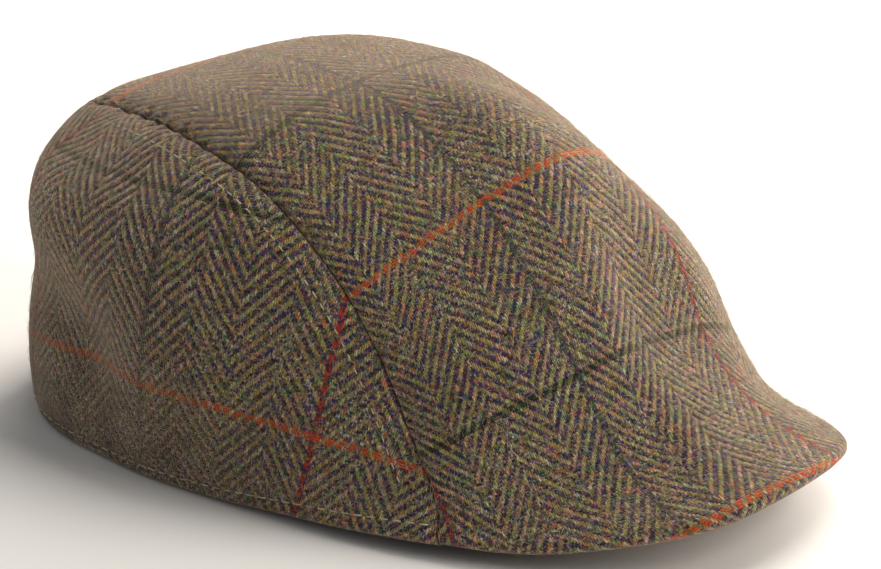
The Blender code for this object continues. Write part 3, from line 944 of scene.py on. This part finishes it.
def herringbone_tweed(name, look):
    """Woollen tweed, woven as an even twill that turns back every column.

    The warp and weft yarns are spun from dyed wool of many colours, so each float has its own
    tint. The raised nap makes the cloth matte, with a pale haze at grazing angles.
    """
    material, add = new_material(name)
    cloth = add("UVMap", uv_map="cloth")
    moved = bent_yarns(add, cloth, look)
    place = add("SeparateXYZ", moved)
    end_pitch = look.column / look.column_ends
    ends = count_yarns(add, place.outputs["X"], end_pitch)
    picks = count_yarns(add, place.outputs["Y"], look.check / look.check_picks)
    warp_up, height = twill(add, look, ends, picks)

    # The overcheck's lines lie on the warp and the weft, and spread over the yarns beside them
    warp = dyed_yarn(add, look, ends[0], place.outputs["Y"], 0.0, WARP_YARN)
    weft = dyed_yarn(add, look, picks[0], place.outputs["X"], 1.0, WEFT_YARN)
    check_ends = round(look.check / end_pitch)
    lengthwise = overcheck(add, look, ends[0], check_ends, LENGTHWISE_LINES, warp)
    crosswise = overcheck(add, look, picks[0], look.check_picks, CROSSWISE_LINES, weft)
    yarn_colour = add("Mix", warp_up, data_type="RGBA", inputs={
        6: crosswise[0].outputs[2], 7: lengthwise[0].outputs[2]})
    bare = 0.0
    for _, line, spread, line_bare in (lengthwise, crosswise):
        yarn_colour = add("Mix", spread, data_type="RGBA", inputs={
            6: yarn_colour.outputs[2], 7: line.outputs[2]})
        bare = add("Math", line_bare, bare, operation="MAXIMUM")

    # Fibres give each yarn its tone, and the hollows between floats are darkened: painted shade
    fibres = yarn_fibres(add, look, moved, warp_up)
    fibre_tone = add("MapRange", fibres.outputs[0], *NOISE_SPAN, *FIBRE_TONES)
    hollow = add("MapRange", height, 0.0, FLOAT_BACK, *HOLLOW_SHADE_TONES)
    tone = add("Math", fibre_tone, hollow, operation="MULTIPLY")
    colour = add("VectorMath", yarn_colour.outputs[2], operation="SCALE", inputs={"Scale": tone})

    # The wool of the nap hides the weave, most of all low at the back, where the cloth is felted,
    # and at the very back, where a pale nap stands in for the fuzz's grazing sheen: painted sheen.
    # Low at the back the colour is darkened too: painted shade, in random blotches
    streaks, cover, nap_colour = raised_nap(add, look, cloth)
    on_cap = add("TexCoord").outputs["Object"]
    felted_and_shaded, painted_back_haze = wear(add, look, on_cap)
    for laid_nap in (painted_back_haze, felted_and_shaded):
        cover = add("Math", cover, laid_nap, operation="MAXIMUM")
    free = add("Math", 1.0, bare, operation="SUBTRACT")
    cover = add("Math", cover, free, operation="MULTIPLY")
    colour = add("Mix", cover, data_type="RGBA", inputs={6: colour, 7: nap_colour})
    # Painted shade: the colour darkens low at the back, in random blotches
    blotches = add("TexNoise", on_cap, inputs={"Scale": 1 / look.blotch, "Detail": 3.0})
    blotches = add("MapRange", blotches.outputs[0], *BLOTCH_SPAN, *BLOTCH_TONES)
    blotchy_shade = add("Math", felted_and_shaded, blotches, operation="MULTIPLY")
    shade = add("Math", blotchy_shade, BLOTCHY_SHADE, 1.0, operation="MULTIPLY_ADD")
    colour = add("VectorMath", colour.outputs[2], operation="SCALE", inputs={"Scale": shade})

    # Clumps of wool a few millimetres across took the dyes unevenly
    clumps = add("TexNoise", on_cap, inputs={"Scale": 1 / look.clump, "Detail": 2.0})
    tint = add("VectorMath", clumps.outputs["Color"], CLUMP_SPREAD, CLUMP_BASE, operation="MULTIPLY_ADD")
    colour = add("VectorMath", colour, tint, operation="MULTIPLY")
    rough = add("MapRange", fibres.outputs[0], *NOISE_SPAN, 0.82, 0.98)
    raised = add("Math", fibres.outputs[0], FIBRE_RELIEF, height, operation="MULTIPLY_ADD")
    raised = add("Math", streaks, STREAK_RELIEF, raised, operation="MULTIPLY_ADD")
    bump = add("Bump", inputs={"Strength": 0.7, "Distance": FLOAT_HEIGHT, "Height": raised})
    shader = add("BsdfPrincipled", inputs={
        "Base Color": colour, "Roughness": rough, "Normal": bump, "Specular IOR Level": 0.25,
        "Sheen Weight": look.sheen, "Sheen Roughness": 0.36, "Sheen Tint": tuple(look.sheen_tint)})
    add("OutputMaterial", shader)
    return material


def plied_fibre(name, colours, fleck, roughness):
    """Spun cotton or a tuft of wool: matte, uneven in colour along it, and faintly twisted."""
    material, add = new_material(name)
    place = add("TexCoord").outputs["Object"]
    noise = add("TexNoise", place, inputs={"Scale": 1 / fleck, "Detail": 2.0})
    spread = add("MapRange", noise.outputs[0], *NOISE_SPAN, 0.0, 1.0)
    colour = set_stops(add("ValToRGB", spread), colours)
    ply = add("TexNoise", place, inputs={"Scale": 1 / PLY, "Detail": 1.0})
    bump = add("Bump", inputs={"Strength": 0.5, "Distance": 0.00005, "Height": ply.outputs[0]})
    shader = add("BsdfPrincipled", inputs={
        "Base Color": colour, "Roughness": roughness, "Normal": bump, "Specular IOR Level": 0.3})
    add("OutputMaterial", shader)
    return material


def dress(piece, node=None):
    """Declare a finished piece to the frame, in place of its CAD node where it has one."""
    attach(piece, "root")
    if node:
        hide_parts(node)


def finish_cloth(shape, grid, seams, drop, shift):
    """Outer and inner grids of one cloth, with its unevenness and its edges turned in.

    At a seam the faces of two cloths stand a little apart, and inside they press together.
    """
    outwards = normals(grid)
    middle = (grid.shape[0] // 2, grid.shape[1] // 2)
    inside = np.array([0.0, 0.0, INSIDE_HEIGHT * shape.crown_height])
    if outwards[middle] @ (grid[middle] - inside) < 0:
        outwards = -outwards
    lift = (shape.slack * ripple(grid, *SLACK_WAVES) - drop)[..., None]
    outer = draw_back(shape, grid, seams, shape.seam_gap / 2) + outwards * lift
    inner = draw_back(shape, grid, seams, -shape.seam_gap / 2) + outwards * (lift - shape.cloth)
    return outer - shift, inner - shift


def tubes(name, paths, up, radius, sides):
    """Closed tubes, one for each path: an array of paths by rings by 3. up stands off the cloth."""
    count, rings = paths.shape[:2]
    along = unit(np.gradient(paths, axis=1))
    aside = unit(np.cross(along, up))
    above = np.cross(aside, along)
    angles = np.arange(sides) * 2 * math.pi / sides
    around = (np.cos(angles)[:, None] * aside[:, :, None] + np.sin(angles)[:, None] * above[:, :, None])
    index = np.arange(count * rings * sides).reshape(count, rings, sides)
    beside = np.roll(index, -1, axis=2)
    walls = np.stack([index[:, :-1], beside[:, :-1], beside[:, 1:], index[:, 1:]], axis=-1)
    faces = walls.reshape(-1, 4).tolist() + index[:, 0, ::-1].tolist() + index[:, -1].tolist()
    return add_mesh(name, paths[:, :, None] + around * radius, faces)


def cloth_surface(shape, disk):
    """Points of the uneven cloth and its outward normals, for disk coordinates."""
    points = skin(shape, disk)
    up = outward(skin, shape, disk)
    return points + up * (shape.slack * ripple(points, *SLACK_WAVES))[..., None], up


def stitch_row(shape, line, sunk):
    """Paths and normals of the stitches along a line of disk coordinates, sunk in the nap."""
    points, up = cloth_surface(shape, line)
    run = np.concatenate([[0.0], np.cumsum(np.linalg.norm(np.diff(points, axis=0), axis=-1))])
    first = np.arange(0.0, run[-1] - shape.stitch_length, shape.stitch_pitch)
    share = np.linspace(0.0, 1.0, STITCH_RINGS)
    where = first[:, None] + share * shape.stitch_length
    paths, ups = (np.stack([np.interp(where, run, values[:, axis]) for axis in range(3)], axis=-1)
                  for values in (points, up))
    arch = (1.0 + STITCH_DIP) * np.sin(math.pi * share) ** 0.5 - STITCH_DIP
    return paths + ups * (shape.thread * arch - sunk)[:, None], ups


class CAP_OT_top_panel(bpy.types.Operator):
    """Add the top panel, whose cloth turns round the edge of the peak"""

    bl_idname = "cap.top_panel"
    bl_label = "Top panel"

    def execute(self, context):
        shape = context.scene.cap_shape
        radius = peak_edge_radius(shape)
        grid = top_panel_grid(shape)
        seams = ("near", "left", "right")
        drop = seam_drop(shape, grid, seams)
        outer, inner = finish_cloth(shape, grid, seams, drop, frame_shift(shape))
        edge = outer[-1]
        up = unit(outer[-1] - inner[-1])
        out = unit(edge - outer[-2])
        out = unit(out - up * np.sum(out * up, axis=-1, keepdims=True))
        rows_out, rows_in = [], []
        for angle in np.radians(np.arange(TURN_STEP, TURN_END, TURN_STEP)):
            around = np.sin(angle) * out + np.cos(angle) * up
            rows_out.append(edge - up * radius + around * radius)
            rows_in.append(edge - up * radius + around * (radius - shape.cloth))
        outer = np.concatenate([outer, rows_out])
        inner = np.concatenate([inner, rows_in])
        crown = (int(CROWN_ROW * outer.shape[0]), outer.shape[1] // 2)
        cloth = cloth_map(outer, (TOP_ACROSS, TOP_ALONG), crown, WARP_ROWS)
        tweed = herringbone_tweed("herringbone_tweed", context.scene.tweed_look)
        dress(cloth_piece("top_panel_cloth", outer, inner, cloth, tweed), "top_panel")
        return {"FINISHED"}


class CAP_OT_side_panels(bpy.types.Operator):
    """Add the two side panels, from the seam down to the folded rim"""

    bl_idname = "cap.side_panels"
    bl_label = "Side panels"

    def execute(self, context):
        shape = context.scene.cap_shape
        shift = frame_shift(shape)
        seams = ("far", "left", "right")
        for side, name in ((-1, "right"), (1, "left")):
            grid = side_panel_grid(shape, side)
            height = from_edge(grid, "near")
            dent = np.exp(-((height - shape.hem_stitch) / STITCH_DENT_WIDTH) ** 2)
            drop = seam_drop(shape, grid, seams) + shape.stitch_dent * dent
            drop += turned_edge(height, shape.hem_roll)
            outer, inner = finish_cloth(shape, grid, seams, drop, shift)
            inner += unit(outer - inner) * (2 * turned_edge(height, shape.cloth / 2))[..., None]
            middle = (0, int(SIDE_COLUMN * grid.shape[1]))
            cloth = cloth_map(outer, (SIDE_ACROSS, SIDE_ALONG), middle, WARP_ROWS)
            tweed = herringbone_tweed("herringbone_tweed_" + name, context.scene.tweed_look)
            piece = cloth_piece(f"side_panel_{name}_cloth", outer, inner, cloth, tweed)
            dress(piece, f"side_panel_{name}")
        return {"FINISHED"}


class CAP_OT_peak(bpy.types.Operator):
    """Add the peak's board with the cloth on its underside"""

    bl_idname = "cap.peak"
    bl_label = "Peak"

    def execute(self, context):
        shape = context.scene.cap_shape
        section = np.linspace(-PEAK_END_SECTION, PEAK_END_SECTION, PEAK_COLUMNS)
        share = shares(shape.peak_depth, shape.cell, EDGE_ROWS, EDGE_ROWS)[:, None]
        edge = disk_point(np.sign(section), np.abs(section), 0.0)
        start = skin(shape, edge) - outward(bare_skin, shape, edge) * (shape.cloth + shape.layer_gap)
        top = np.array([0.0, -CROWN_TOP_AHEAD * shape.peak_reach])
        inwards = unit(top - start[:, :2])
        brow = np.cos(section / PEAK_END_SECTION * math.pi / 2) ** BROW_POWER
        depth = mix(shape.peak_end_depth, shape.peak_depth, brow)
        rise = np.tan(np.radians(along_sections("rise", np.abs(section))))
        distance = shape.peak_setback + depth * share
        plan = start[:, :2] + inwards * distance[..., None]
        height = start[:, 2] + rise * distance * (1.0 - PEAK_FLATTENING * share)
        upper = np.concatenate([plan, height[..., None]], axis=-1) - frame_shift(shape)
        down = normals(upper)
        down *= -np.sign(down[..., 2:])
        brow_edge = turned_edge(from_edge(upper, "far"), shape.peak_board / 2)[..., None]
        lower = upper + down * (shape.peak_board - brow_edge)
        upper = upper + down * brow_edge
        middle = (share.shape[0] // 2, len(section) // 2)
        cloth = cloth_map(lower, (TOP_ACROSS, TOP_ALONG), middle, -PEAK_WARP_ROWS)
        tweed = herringbone_tweed("under_peak_tweed", context.scene.tweed_look)
        dress(cloth_piece("peak_under_cloth", lower, upper, cloth, tweed), "peak")
        return {"FINISHED"}


class CAP_OT_stitches(bpy.types.Operator):
    """Add the rows of stitches along the hem and beside the seams"""

    bl_idname = "cap.stitches"
    bl_label = "Stitches"

    def execute(self, context):
        shape = context.scene.cap_shape
        rows = []
        for side in (-1, 1):
            rim = disk_point(side, np.linspace(*HEM_ROW, ROW_POINTS), 0.0)
            rows.append(stitch_row(shape, step_aside(shape, rim, -side * shape.hem_stitch), 0.0))
            seam = cut_disk(np.linspace(*SEAM_ROW, ROW_POINTS), side)
            rows.append(stitch_row(shape, step_aside(shape, seam, side * shape.seam_stitch), SUNK_STITCH))
        paths, ups = (np.concatenate(part) for part in zip(*rows))
        piece = tubes("stitches", paths - frame_shift(shape), ups, shape.thread, THREAD_SIDES)
        piece.data.materials.append(plied_fibre("cotton_thread", THREAD, THREAD_FLECK, roughness=0.7))
        dress(piece)
        return {"FINISHED"}


class CAP_OT_stray_fibres(bpy.types.Operator):
    """Add the stray wool fibres that stand off the cloth"""

    bl_idname = "cap.stray_fibres"
    bl_label = "Stray fibres"

    def execute(self, context):
        shape = context.scene.cap_shape
        draw = np.random.default_rng(FIBRE_SEED)
        count = shape.fibres
        radius = np.sqrt(draw.uniform(0.0, FIBRE_AREA, count))
        angle = draw.uniform(-math.pi, math.pi, count)
        disk = np.stack([radius * np.sin(angle), radius * np.cos(angle)], axis=-1)
        points, up = cloth_surface(shape, disk)
        aside = unit(np.cross(up, unit(draw.normal(size=(count, 3)))))
        ahead = np.cross(up, aside)
        share = np.linspace(0.0, 1.0, FIBRE_RINGS)[:, None]
        length = shape.fibre_length * draw.uniform(SHORTEST_FIBRE, 1.0, (count, 1, 1))
        curl = draw.normal(0.0, FIBRE_CURL, (count, 1, 1))
        rise = shape.fibre_rise * draw.uniform(LOWEST_FIBRE, 1.0, (count, 1, 1))
        arch = np.sin(FIBRE_ARCH * math.pi * share) - FIBRE_ROOT
        paths = (points[:, None] + ahead[:, None] * length * (share - 0.5)
                 + aside[:, None] * length * curl * share ** 2 + up[:, None] * rise * arch)
        ups = np.repeat(up[:, None], FIBRE_RINGS, axis=1)
        piece = tubes("stray_fibres", paths - frame_shift(shape), ups, shape.fibre, FIBRE_SIDES)
        piece.data.materials.append(plied_fibre("stray_wool", STRAY_WOOL, STRAY_FLECK, roughness=0.8))
        dress(piece)
        return {"FINISHED"}


def area_light(light, middle, place):
    """A soft square light that looks at the cap's middle."""
    data = bpy.data.lights.new(light.name, "AREA")
    data.shape = "SQUARE"
    data.size = LIGHT_SIZE
    data.energy = light.power
    data.color = linear(light.colour)[:3]
    lamp = add_object(light.name, data)
    lamp.location = place
    lamp.rotation_euler = (middle - place).to_track_quat("-Z", "Y").to_euler()


def floor_paper(colour):
    """Matte paper, pressed smooth: it takes soft shadows and shows no reflection."""
    material, add = new_material("matte_paper")
    add("OutputMaterial", add("BsdfPrincipled", inputs={"Base Color": colour, "Roughness": 0.9}))
    return material


class CAP_OT_stage(bpy.types.Operator):
    """Add the floor, the studio lights and the camera at the photograph's angle"""

    bl_idname = "cap.stage"
    bl_label = "Stage"

    def execute(self, context):
        look = context.scene.studio_look
        scene = context.scene
        middle = Vector(SEEN_PLACE)
        toward = Vector((math.sin(look.azimuth) * math.cos(look.elevation),
                         -math.cos(look.azimuth) * math.cos(look.elevation),
                         math.sin(look.elevation)))
        right = Vector((math.cos(look.azimuth), math.sin(look.azimuth), 0.0))
        above = toward.cross(right)
        wide, high = PHOTO_PIXELS
        off_centre = right * (wide / 2 - SEEN_PIXEL[0]) - above * (high / 2 - SEEN_PIXEL[1])
        aim = middle + off_centre * (MILLIMETRE / look.scale)
        camera = add_object("camera", bpy.data.cameras.new("camera"))
        camera.location = middle + toward * look.distance
        camera.rotation_euler = (aim - camera.location).to_track_quat("-Z", "Y").to_euler()
        camera.data.sensor_width = SENSOR
        camera.data.lens = SENSOR * look.scale * look.distance / MILLIMETRE / wide
        scene.camera = camera

        bpy.ops.mesh.primitive_plane_add(size=FLOOR_SIZE, location=(0.0, 0.0, cad_box[0][2]))
        floor = context.object
        floor.name = "floor"
        floor.data.materials.append(floor_paper(tuple(look.floor)))

        world = bpy.data.worlds.new("studio")
        world.use_nodes = True
        background = world.node_tree.nodes["Background"]
        background.inputs["Color"].default_value = linear("FFFFFF")
        background.inputs["Strength"].default_value = look.surroundings
        scene.world = world
        scene.view_settings.view_transform = "Standard"
        for light in LIGHTS:
            place = middle + right * light.right + above * light.above + toward * light.toward
            area_light(light, middle, place)
        return {"FINISHED"}


class CAP_PT_pieces(bpy.types.Panel):
    """Lists the sizes and the operators that add the cap's pieces"""

    bl_label = "Flat Cap"
    bl_idname = "CAP_PT_pieces"
    bl_space_type = "VIEW_3D"
    bl_region_type = "UI"
    bl_category = "Flat Cap"

    def draw(self, context):
        for settings in (context.scene.cap_shape, context.scene.tweed_look, context.scene.studio_look):
            box = self.layout.box()
            for name in type(settings).__annotations__:
                box.prop(settings, name)
        for operator in OPERATORS:
            self.layout.operator(operator.bl_idname)


OPERATORS = (CAP_OT_top_panel, CAP_OT_side_panels, CAP_OT_peak, CAP_OT_stitches,
             CAP_OT_stray_fibres, CAP_OT_stage)
CLASSES = (CapShape, TweedLook, StudioLook) + OPERATORS + (CAP_PT_pieces,)


def register():
    """Register the classes and give the scene their settings."""
    for one in CLASSES:
        bpy.utils.register_class(one)
    bpy.types.Scene.cap_shape = PointerProperty(type=CapShape)
    bpy.types.Scene.tweed_look = PointerProperty(type=TweedLook)
    bpy.types.Scene.studio_look = PointerProperty(type=StudioLook)


def unregister():
    """Take the settings and the classes away again."""
    del bpy.types.Scene.studio_look
    del bpy.types.Scene.tweed_look
    del bpy.types.Scene.cap_shape
    for one in reversed(CLASSES):
        bpy.utils.unregister_class(one)


def main():
    """Add every piece and the stage."""
    register()
    bpy.ops.cap.top_panel()
    bpy.ops.cap.side_panels()
    bpy.ops.cap.peak()
    bpy.ops.cap.stitches()
    bpy.ops.cap.stray_fibres()
    bpy.ops.cap.stage()


if __name__ == "__main__":
    main()
